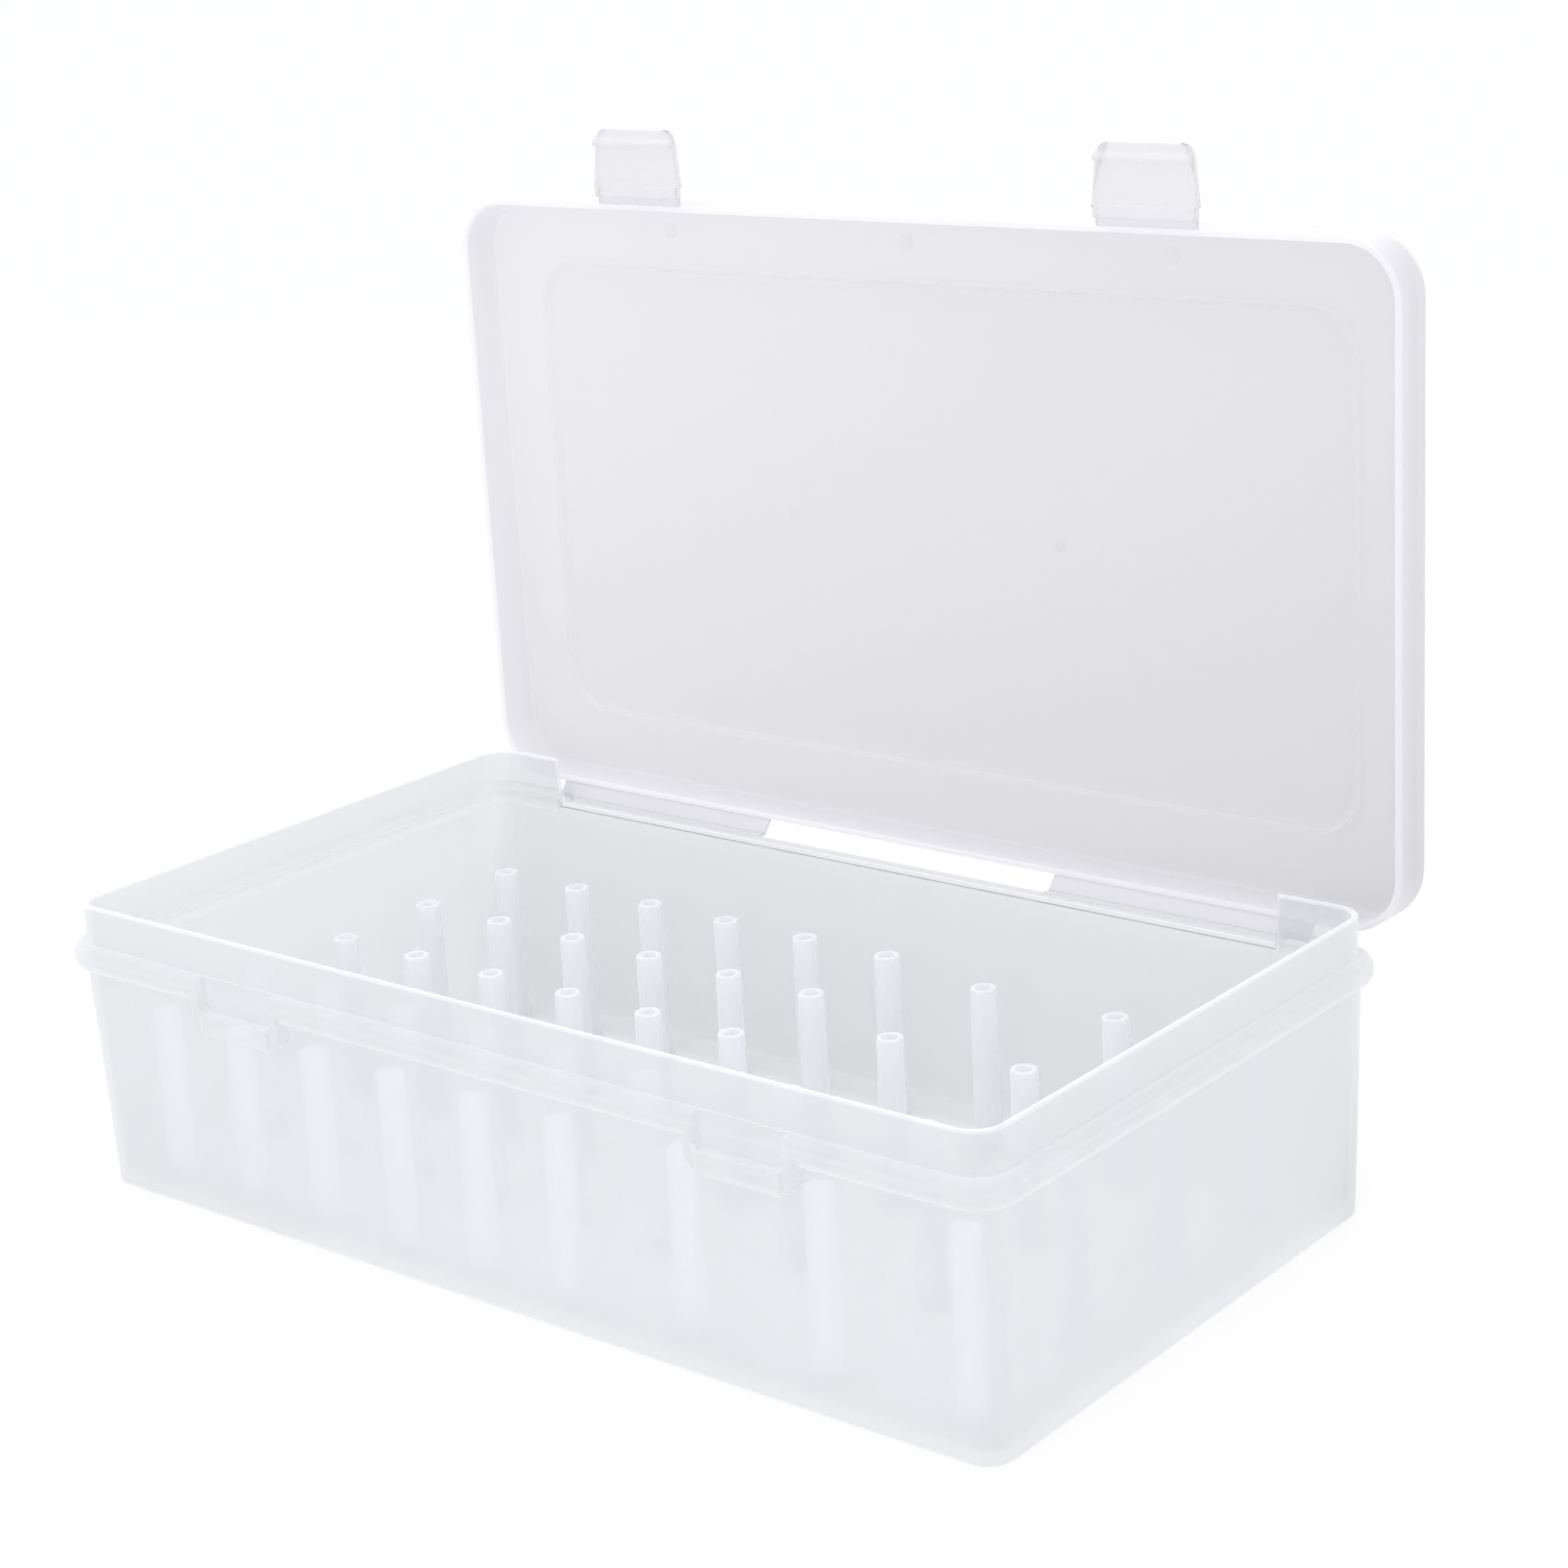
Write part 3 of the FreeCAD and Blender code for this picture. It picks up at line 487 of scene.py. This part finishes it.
# ---------------------------------------------------------------- hinge webs

def loop_inward(loop):
    """Unit vectors pointing into a closed anticlockwise profile, one per point."""
    ahead = np.roll(loop, -1, axis=0) - np.roll(loop, 1, axis=0)
    ahead /= np.linalg.norm(ahead, axis=1)[:, None]
    return np.column_stack([-ahead[:, 1], ahead[:, 0]])


def make_webs(material):
    """The two strips between the tub's and the lid's hinge lines, each closed by round edges."""
    root = np.array(JOINTS["lower_film_hinge"]["pos_m"][1:])
    head = np.array(JOINTS["upper_film_hinge"]["pos_m"][1:])
    span = np.linalg.norm(head - root)
    along = (head - root) / span
    across = np.array([-along[1], along[0]])
    half = FILM / 2
    loop = arc(span, 0, half, -90, 90, 6) + [(span * 0.66, half), (span * 0.33, half)]
    loop += arc(0, 0, half, 90, 270, 6) + [(span * 0.33, -half), (span * 0.66, -half)]
    shape = np.array([root + a * along + b * across for a, b in loop])
    smaller = shape + (shape.mean(axis=0) - shape) * WEB_END_SHRINK * half / span
    stations = ((WEB_INNER, smaller), (WEB_INNER + WEB_EDGE, shape), (WEB_OUTER - WEB_EDGE, shape),
                (WEB_OUTER, smaller))
    for side, label in ((-1, "left"), (1, "right")):
        rings = [np.column_stack([np.full(len(ring), side * place), ring]) for place, ring in stations]
        mesh = mesh_from_rings("web_" + label, rings)
        add_piece("film_web_" + label, mesh, material, "web_body", "hinge_web_" + label)


# ---------------------------------------------------------------- latches

def round_corners(corners):
    """A closed profile from (a, b, radius) corners, with straight runs cut into short pieces."""
    count = len(corners)
    points = []
    for index, (a, b, radius) in enumerate(corners):
        here = np.array([a, b])
        before = np.array(corners[index - 1][:2]) - here
        after = np.array(corners[(index + 1) % count][:2]) - here
        before_way, after_way = before / np.linalg.norm(before), after / np.linalg.norm(after)
        turn = math.acos(max(-1.0, min(1.0, float(before_way @ after_way))))
        reach = radius / math.tan(turn / 2)
        start, end = here + before_way * reach, here + after_way * reach
        for share in np.linspace(0, 1, 5):
            smooth = (1 - share) ** 2 * start + 2 * share * (1 - share) * here + share ** 2 * end
            points.append(smooth)
    filled = []
    for index, point in enumerate(points):
        following = points[(index + 1) % len(points)]
        gap = np.linalg.norm(following - point)
        pieces = max(1, int(gap / (0.35 * MM)))
        filled += [point + (following - point) * step / pieces for step in range(pieces)]
    return np.array(filled)


def latch_half_width(v):
    """Half the latch's width along its length: film and knuckle, tapering plate, round tip."""
    taper = (LATCH_TIP_HALF - LATCH_ROOT_HALF) / (LATCH_LONG - KNUCKLE_END)
    plate = LATCH_ROOT_HALF + taper * (v - KNUCKLE_END)
    into_tip = np.clip(v - (LATCH_LONG - LATCH_CORNER), 0, LATCH_CORNER)
    plate = plate - (LATCH_CORNER - np.sqrt(LATCH_CORNER ** 2 - into_tip ** 2))
    return np.where(v < KNUCKLE_END, LATCH_ROOT_HALF - KNUCKLE_INSET, plate)


def latch_loop():
    """The latch's profile from (along it, towards its outside, corner radius in millimetres) corners."""
    corners = [(-FILM / 2, -FILM / 2, 0.2), (KNUCKLE_START, -FILM / 2, 0.1),
               (KNUCKLE_START, -KNUCKLE_INSIDE, 0.55),
               (KNUCKLE_END, -KNUCKLE_INSIDE, 0.55), (KNUCKLE_END + 0.25 * MM, -LATCH_INSIDE, 0.15),
               (HOOK_START, -LATCH_INSIDE, 0.1), (HOOK_START + 0.1 * MM, -HOOK_INSIDE, 0.3),
               (HOOK_START + 0.9 * MM, -HOOK_INSIDE, 0.3), (HOOK_END, -LATCH_INSIDE, 0.3),
               (LATCH_LONG, -LATCH_INSIDE, 0.35), (LATCH_LONG, LATCH_OUTSIDE, 0.35),
               (KNUCKLE_START + 0.5 * MM, LATCH_OUTSIDE, 0.2), (KNUCKLE_START, FILM / 2, 0.1),
               (-FILM / 2, FILM / 2, 0.2)]
    return round_corners([(v, n, radius * MM) for v, n, radius in corners])


def make_latches(material):
    """Both flip latches, standing in line with the lid: the profile run across, with soft side edges."""
    loop = latch_loop()
    inward = loop_inward(loop)
    half = latch_half_width(loop[:, 0])
    rounding = [(LATCH_EDGE * (1 - math.cos(angle)), LATCH_EDGE * (1 - math.sin(angle)))
                for angle in np.radians(np.linspace(0, 90, 4))]
    stations = [(-1, cut, inset) for cut, inset in reversed(rounding)]
    stations += [(share, 0, 0) for share in np.linspace(-0.95, 0.95, 21)]
    stations += [(1, cut, inset) for cut, inset in rounding]
    edges = [LATCH_EDGE_GLOW if abs(share) == 1 else 0.0 for share, cut, inset in stations]
    pivot_v = JOINTS["left_latch_hinge"]["pos_m"][2] - JOINTS["upper_film_hinge"]["pos_m"][2]
    pivot_n = JOINTS["left_latch_hinge"]["pos_m"][1] - JOINTS["upper_film_hinge"]["pos_m"][1]
    for side, label in ((-1, "left"), (1, "right")):
        rings = []
        for share, cut, inset in stations:
            u = side * CATCH_X + share * half - np.sign(share) * cut
            shape = loop + inward * inset
            rings.append(np.column_stack([u, pivot_v + shape[:, 0], pivot_n + shape[:, 1]]))
        mesh = mesh_from_rings("latch_" + label, lid_to_world(rings), edges)
        add_piece("flip_latch_" + label, mesh, material, "latch_%s_body" % label, "latch_" + label)


# ---------------------------------------------------------------- posts

def post_profile(floor, top):
    """(radius, height) from the foot's underside, up the outside, over the rim and down the bore."""
    taper = (POST_FOOT - POST_HEAD) / (top - floor)
    profile = [(POST_FOOT + 0.4 * MM, floor - POST_SINK), (POST_FOOT + 0.4 * MM, floor - 0.02 * MM),
               (POST_FOOT + 0.12 * MM, floor + 0.12 * MM), (POST_FOOT, floor + 0.4 * MM)]
    for height in spread(floor + 3 * MM, top - POST_EDGE - 0.4 * MM, 5 * MM):
        profile.append((POST_FOOT - taper * (height - floor), height))
    profile += arc(POST_HEAD - POST_EDGE, top - POST_EDGE, POST_EDGE, 0, 90, 4)
    profile += arc(POST_BORE + POST_EDGE, top - POST_EDGE, POST_EDGE, 90, 180, 4)
    for height in spread(floor + 2.6 * MM, top - 1.5 * MM, 6 * MM)[::-1]:
        profile.append((POST_BORE, height))
    profile += [(POST_BORE - 0.1 * MM, floor + 1.8 * MM), (POST_BORE - 0.6 * MM, floor + 1.6 * MM)]
    return profile


def make_post_row(node, columns, material):
    """A row of posts, spaced evenly over the box of its CAD node."""
    low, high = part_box(node)
    middle_y = (low.y + high.y) / 2
    first, last = low.x + POST_FOOT, high.x - POST_FOOT
    profile = post_profile(low.z, high.z)
    angles = np.linspace(0, 2 * math.pi, POST_SEGMENTS, endpoint=False)
    posts = []
    for x in np.linspace(first, last, columns):
        rings = [np.column_stack([x + radius * np.cos(angles), middle_y + radius * np.sin(angles),
                                  np.full(POST_SEGMENTS, height)]) for radius, height in profile]
        posts.append(mesh_from_rings("post", rings))
    name = node.replace("posts_row", "post_tubes")
    add_piece(name, join_meshes(name, posts), material, "tub_body", node)


# ---------------------------------------------------------------- material

CLEAR_TINT = (0.93, 0.93, 0.937)
UNTINTED = (1.0, 1.0, 1.0)
NO_PAINTED_SHADE = ((0.0, 0.0, 0.0), 0.0, 1.0)
INNER_SHADE = 0.75       # share of the painted inner glow that is lost where the painted shade is complete
PAINTED_EDGE_GLOW = 0.1         # painted glow (emission, not a lamp) that a free edge gives out
EDGE_POWER = 5.0         # how narrow the painted sheen, the bright rim, is where the sheet turns away
GRAZING = 0.16           # cosine of the viewing angle at which the path through the sheet stops growing
DRIFT = 0.06             # slow change of density from place to place
MOTTLE = 0.04            # fine change of colour
GRAIN_SCALE = 900.0
GRAIN_BUMP, GRAIN_DEPTH = 0.05, 0.2 * MM
ROUGH_LEAST, ROUGH_SPREAD = 0.28, 0.16
PLASTIC_IOR = 1.49
MILK_SHARE = 0.42        # share of the dense part that lets light through to the far side


def node(tree, kind, **settings):
    """Add a shader node; a setting names an attribute, or an input socket if there is one of that name."""
    made = tree.nodes.new(kind)
    sockets = {socket.name.lower().replace(" ", "_"): socket for socket in made.inputs}
    for name, value in settings.items():
        if name in sockets:
            sockets[name].default_value = value
        else:
            setattr(made, name, value)
    return made


def calculate(tree, operation, first, second=0.0, clamp=False):
    """Add a math node; each input is a number or another node's output."""
    made = tree.nodes.new("ShaderNodeMath")
    made.operation = operation
    made.use_clamp = clamp
    for socket, value in zip(made.inputs, (first, second)):
        if hasattr(value, "links"):
            tree.links.new(value, socket)
        else:
            socket.default_value = value
    return made.outputs[0]


def tinted(tree, colour, factor):
    """A colour multiplied by a number."""
    scale = node(tree, "ShaderNodeVectorMath", operation="SCALE")
    tree.links.new(colour, scale.inputs[0])
    tree.links.new(factor, scale.inputs["Scale"])
    return scale.outputs[0]


def frosted(name, face_opacity, dull, bright, wave_scale, painted_shade=NO_PAINTED_SHADE, tint=CLEAR_TINT, painted_inner_glow=0.0):
    """Natural polypropylene: a milky sheet that grows denser where it is seen edge on, and a painted sheen
    makes it brighter there.

    The (direction, start, strength) argument gives painted shade: past the start, the sheet is painted
    darker along that direction until it has lost that share. A painted glow (emission, not a lamp) comes
    out at its free edges, and the inner glow amount adds a little painted glow everywhere, less where the
    painted shade falls.
    """
    material = bpy.data.materials.new(name)
    material.cycles.emission_sampling = "NONE"
    material.use_nodes = True
    tree = material.node_tree
    tree.nodes.clear()
    link = tree.links.new
    where = node(tree, "ShaderNodeTexCoord").outputs["Object"]
    wave = node(tree, "ShaderNodeTexNoise", scale=wave_scale, detail=2.0, roughness=0.5)
    grain = node(tree, "ShaderNodeTexNoise", scale=GRAIN_SCALE, detail=3.0, roughness=0.6)
    link(where, wave.inputs["Vector"])
    link(where, grain.inputs["Vector"])
    edge_on = node(tree, "ShaderNodeLayerWeight", blend=0.5).outputs["Facing"]
    square_on = calculate(tree, "MAXIMUM", calculate(tree, "SUBTRACT", 1.0, edge_on), GRAZING)
    path = calculate(tree, "DIVIDE", 1.0, square_on)
    drift = calculate(tree, "MULTIPLY_ADD", wave.outputs["Fac"], DRIFT)
    drift.node.inputs[2].default_value = face_opacity - DRIFT / 2
    clear = calculate(tree, "POWER", calculate(tree, "SUBTRACT", 1.0, drift), path)
    opacity = calculate(tree, "SUBTRACT", 1.0, clear, clamp=True)
    # Painted sheen: the colour goes from dull to bright as the sheet turns edge on; the mottle is a fine
    # random change of tone.
    rim = calculate(tree, "POWER", edge_on, EDGE_POWER, clamp=True)
    mottle = calculate(tree, "MULTIPLY", calculate(tree, "SUBTRACT", grain.outputs["Fac"], 0.5), MOTTLE)
    colour = node(tree, "ShaderNodeMix", data_type="RGBA")
    link(calculate(tree, "ADD", rim, mottle, clamp=True), colour.inputs["Factor"])
    colour_sockets = [socket for socket in colour.inputs if socket.type == "RGBA"]
    for socket, value in zip(colour_sockets, (dull, bright)):
        socket.default_value = value + (1.0,)
    # Painted shade: past the start along the direction, the colour and the clear tint are dimmed.
    direction, start, strength = painted_shade
    slope = node(tree, "ShaderNodeVectorMath", operation="DOT_PRODUCT")
    link(where, slope.inputs[0])
    slope.inputs[1].default_value = direction
    painted_shade_depth = calculate(tree, "SUBTRACT", slope.outputs["Value"], start, clamp=True)
    dimming = calculate(tree, "SUBTRACT", 1.0, calculate(tree, "MULTIPLY", painted_shade_depth, strength))
    shade = tinted(tree, [socket for socket in colour.outputs if socket.type == "RGBA"][0], dimming)
    bump = node(tree, "ShaderNodeBump", strength=GRAIN_BUMP, distance=GRAIN_DEPTH)
    link(grain.outputs["Fac"], bump.inputs["Height"])
    skin = node(tree, "ShaderNodeBsdfPrincipled", ior=PLASTIC_IOR)
    link(shade, skin.inputs["Base Color"])
    rough = calculate(tree, "MULTIPLY_ADD", wave.outputs["Fac"], ROUGH_SPREAD)
    rough.node.inputs[2].default_value = ROUGH_LEAST
    link(rough, skin.inputs["Roughness"])
    link(bump.outputs["Normal"], skin.inputs["Normal"])
    milk = node(tree, "ShaderNodeBsdfTranslucent")
    link(shade, milk.inputs["Color"])
    body = node(tree, "ShaderNodeMixShader")
    body.inputs[0].default_value = MILK_SHARE
    link(skin.outputs[0], body.inputs[1])
    link(milk.outputs[0], body.inputs[2])
    through = node(tree, "ShaderNodeBsdfTransparent")
    clear_tint = node(tree, "ShaderNodeRGB")
    clear_tint.outputs[0].default_value = tint + (1.0,)
    link(tinted(tree, clear_tint.outputs[0], dimming), through.inputs["Color"])
    surface = node(tree, "ShaderNodeMixShader")
    link(opacity, surface.inputs[0])
    link(through.outputs[0], surface.inputs[1])
    link(body.outputs[0], surface.inputs[2])
    # Painted glow: an emission on the rings weighted in the mesh, and a little inner glow everywhere, less
    # under the painted shade.
    edge = node(tree, "ShaderNodeAttribute", attribute_name="free_edge")
    light = calculate(tree, "MULTIPLY_ADD", edge.outputs["Fac"], PAINTED_EDGE_GLOW)
    shaded = calculate(tree, "MULTIPLY", painted_shade_depth, painted_inner_glow * INNER_SHADE)
    link(calculate(tree, "SUBTRACT", painted_inner_glow, shaded), light.node.inputs[2])
    painted_glow = node(tree, "ShaderNodeEmission", color=bright + (1.0,))
    link(light, painted_glow.inputs["Strength"])
    lit = node(tree, "ShaderNodeAddShader")
    link(surface.outputs[0], lit.inputs[0])
    link(painted_glow.outputs[0], lit.inputs[1])
    output = node(tree, "ShaderNodeOutputMaterial")
    link(lit.outputs[0], output.inputs["Surface"])
    return material


# ---------------------------------------------------------------- stage

CAMERA_PLACE = (0.4203, -0.4735, 0.2832)
CAMERA_ANGLES = (39.82, 17.0, -3.32)   # round from the front, down, and roll
CAMERA_LENS = 74.41
FLOOR_REACH, FLOOR_DROP = 12.0, -0.4 * MM
FLOOR_GLOW, FLOOR_LIGHT = 0.8, 0.99
LAMP_AIM = (0, 0.04, 0.1)
# name, place, size and power of each lamp
LAMPS = (("right", (1.0, -0.2, 0.5), 0.6, 0.5), ("rear", (-0.2, 0.9, 0.6), 0.6, 0.8),
         ("top", (0.0, -0.1, 0.9), 0.5, 1.6), ("low_front", (0.3, -0.9, 0.15), 0.5, 1.6))
SKY = 1.1


def make_floor():
    """A pale floor with a glow of its own, so that it stays near white under a soft shadow."""
    mesh = bpy.data.meshes.new("floor")
    corners = ((-1, -1), (1, -1), (1, 1), (-1, 1))
    mesh.from_pydata([(x * FLOOR_REACH, y * FLOOR_REACH, FLOOR_DROP) for x, y in corners], [], [(0, 1, 2, 3)])
    floor = bpy.data.objects.new("floor", mesh)
    bpy.context.scene.collection.objects.link(floor)
    material = bpy.data.materials.new("pale_floor")
    material.use_nodes = True
    tree = material.node_tree
    tree.nodes.clear()
    paint = node(tree, "ShaderNodeBsdfDiffuse", color=(0.93, 0.93, 0.935, 1.0))
    glow = node(tree, "ShaderNodeEmission", color=(1.0, 1.0, 1.0, 1.0), strength=FLOOR_LIGHT)
    mix = node(tree, "ShaderNodeMixShader")
    mix.inputs[0].default_value = FLOOR_GLOW
    tree.links.new(paint.outputs[0], mix.inputs[1])
    tree.links.new(glow.outputs[0], mix.inputs[2])
    output = node(tree, "ShaderNodeOutputMaterial")
    tree.links.new(mix.outputs[0], output.inputs["Surface"])
    mesh.materials.append(material)


def make_lamp(name, place, aim, size, power):
    lamp = bpy.data.lights.new(name, "AREA")
    lamp.shape = "DISK"
    lamp.size = size
    lamp.energy = power
    holder = bpy.data.objects.new(name, lamp)
    bpy.context.scene.collection.objects.link(holder)
    holder.location = place
    holder.visible_camera = False
    holder.rotation_euler = (Vector(aim) - Vector(place)).to_track_quat("-Z", "Y").to_euler()


def make_world():
    world = bpy.data.worlds.new("studio")
    bpy.context.scene.world = world
    world.use_nodes = True
    background = world.node_tree.nodes["Background"]
    background.inputs["Color"].default_value = (0.97, 0.98, 1.0, 1.0)
    background.inputs["Strength"].default_value = SKY


def set_light_paths(scene):
    """Enough bounces for light to pass through every wall and post that stands in line."""
    scene.view_settings.view_transform = "Standard"
    scene.cycles.transparent_max_bounces = 48
    scene.cycles.max_bounces = 14
    scene.cycles.diffuse_bounces = 12
    scene.cycles.transmission_bounces = 14


def make_camera():
    """Above the front right corner, with a slight roll."""
    azimuth, elevation, roll = (math.radians(angle) for angle in CAMERA_ANGLES)
    forward = Vector((-math.sin(azimuth) * math.cos(elevation), math.cos(azimuth) * math.cos(elevation),
                      -math.sin(elevation)))
    level = Vector((math.cos(azimuth), math.sin(azimuth), 0))
    upright = level.cross(forward)
    right = math.cos(roll) * level + math.sin(roll) * upright
    up = math.cos(roll) * upright - math.sin(roll) * level
    camera = bpy.data.objects.new("camera", bpy.data.cameras.new("camera"))
    camera.data.sensor_width = 36.0
    camera.data.lens = CAMERA_LENS
    camera.data.clip_start = 0.01
    camera.data.clip_end = 100.0
    camera.matrix_world = Matrix((
        (right.x, up.x, -forward.x, CAMERA_PLACE[0]),
        (right.y, up.y, -forward.y, CAMERA_PLACE[1]),
        (right.z, up.z, -forward.z, CAMERA_PLACE[2]),
        (0, 0, 0, 1)))
    bpy.context.scene.collection.objects.link(camera)
    bpy.context.scene.camera = camera


# The tub's plastic; painted shade makes it a little darker towards the rear and towards the bottom.
plastic = frosted("frosted_plastic", face_opacity=0.30, wave_scale=14.0,
                  dull=(0.90, 0.9, 0.913), bright=(0.975, 0.975, 0.982), tint=(0.905, 0.907, 0.912),
                  painted_shade=((0.0, 300.0, -60.0), 15.9, 0.05))
# The lid's copy of the plastic is painted darker than the tub's, as shade, and painted shade darkens it
# further towards its lower right as it stands, less on its skirt than on its plate.
lid_plastic = frosted("frosted_lid", face_opacity=0.42, wave_scale=14.0,
                      dull=(0.85, 0.845, 0.868), bright=(0.95, 0.947, 0.958),
                      painted_shade=((2.0, 60.0, -3.4), 4.1, 0.115))
# The latches carry a faint painted inner glow (emission).
latch_plastic = frosted("frosted_latches", face_opacity=0.42, wave_scale=30.0,
                        dull=(0.80, 0.795, 0.818), bright=(0.93, 0.927, 0.94), painted_inner_glow=0.01)
# The film's copy is painted darker, as shade, against the light that comes through it from below.
film = frosted("frosted_film", face_opacity=0.78, wave_scale=30.0,
               dull=(0.80, 0.795, 0.818), bright=(0.9, 0.895, 0.912))
faint = frosted("frosted_marks", face_opacity=0.06, wave_scale=30.0,
                dull=(0.80, 0.795, 0.82), bright=(0.9, 0.895, 0.92), tint=UNTINTED)
# The posts are thick, so denser and whiter than the walls; part of their lighter colour and their inner glow
# is painted light, and painted shade darkens the rows towards the rear and takes away part of that glow.
dense = frosted("frosted_posts", face_opacity=0.6, wave_scale=60.0,
                dull=(0.96, 0.962, 0.975), bright=(0.985, 0.985, 0.99), tint=UNTINTED,
                painted_shade=((0.0, 40.0, 0.0), -2.0, 0.027), painted_inner_glow=0.06)
make_tub(plastic)
panel_middle, panel_ceiling = make_lid(lid_plastic)
make_lid_marks(faint, panel_middle, panel_ceiling)
make_webs(film)
make_latches(latch_plastic)
for row_name, row_count, posts_in_row in POST_ROWS:
    for row in range(1, row_count + 1):
        make_post_row(row_name % row, posts_in_row, dense)

make_floor()
make_world()
for lamp_name, lamp_place, lamp_size, lamp_power in LAMPS:
    make_lamp(lamp_name, lamp_place, LAMP_AIM, lamp_size, lamp_power)
make_camera()
set_light_paths(bpy.context.scene)
